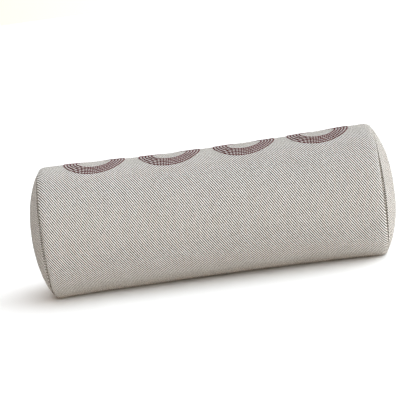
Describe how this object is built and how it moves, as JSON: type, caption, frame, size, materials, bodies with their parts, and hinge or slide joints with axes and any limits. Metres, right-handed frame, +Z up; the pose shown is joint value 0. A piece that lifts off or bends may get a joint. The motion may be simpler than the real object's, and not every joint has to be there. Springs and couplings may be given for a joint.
{
  "type": "bolster pillow",
  "caption": "Round stuffed bolster pillow with domed sewn ends, embroidered ring motifs along its top, a coil zip low on the back and a foam core.",
  "frame": {"origin": "on the resting surface, below the middle of the roll", "axes": "+X along the roll, -Y towards the user's side that is seen, +Z up through the row of ring motifs"},
  "size_m": [0.4254, 0.1584, 0.1526],
  "materials": {
    "weave": "matt twill of off-white and dark grey yarns",
    "ring_thread": "burgundy embroidery thread with a soft sheen",
    "sewing_thread": "spun polyester sewing thread",
    "zip_cloth": "woven polyester zip tape",
    "zip_coil": "nylon coil, slightly glossy",
    "zip_metal": "nickel-plated, worn satin",
    "label_satin": "blank woven satin ribbon",
    "liner_cloth": "thin plain cotton",
    "soft_foam": "open-cell soft foam, matt",
    "firm_foam": "dense fine-cell foam, matt",
    "wadding": "white polyester wadding"
  },
  "bodies": {
    "pillow": {"cover_tube": "weave", "cover_end_left": "weave", "cover_end_right": "weave", "end_seam_thread_left": "sewing_thread", "end_seam_thread_right": "sewing_thread", "ring_embroidery_1": "ring_thread", "ring_embroidery_2": "ring_thread", "ring_embroidery_3": "ring_thread", "ring_embroidery_4": "ring_thread", "zip_tape_upper": "zip_cloth", "zip_tape_lower": "zip_cloth", "zip_coil_upper": "zip_coil", "zip_coil_lower": "zip_coil", "zip_top_stop_upper": "zip_metal", "zip_top_stop_lower": "zip_metal", "zip_bottom_stop": "zip_metal", "zip_topstitch_upper": "sewing_thread", "zip_topstitch_lower": "sewing_thread", "care_label": "label_satin", "liner_tube": "liner_cloth", "liner_end_left": "liner_cloth", "liner_end_right": "liner_cloth", "foam_sleeve": "soft_foam", "foam_core": "firm_foam", "end_pad_left": "wadding", "end_pad_right": "wadding"},
    "slider": {"zip_slider": "zip_metal"},
    "pull_tab": {"zip_pull_tab": "zip_metal"}
  },
  "joints": [
    {"name": "zip_slide", "type": "slide", "parent": "pillow", "child": "slider", "axis": [-1, 0, 0], "range_m": [0, 0.2634]},
    {"name": "tab_hinge", "type": "hinge", "parent": "slider", "child": "pull_tab", "pos_m": [0.1317, 0.07539, 0.0428], "axis": [0, -0.4133, -0.9106], "range_deg": [0, 178]}
  ]
}
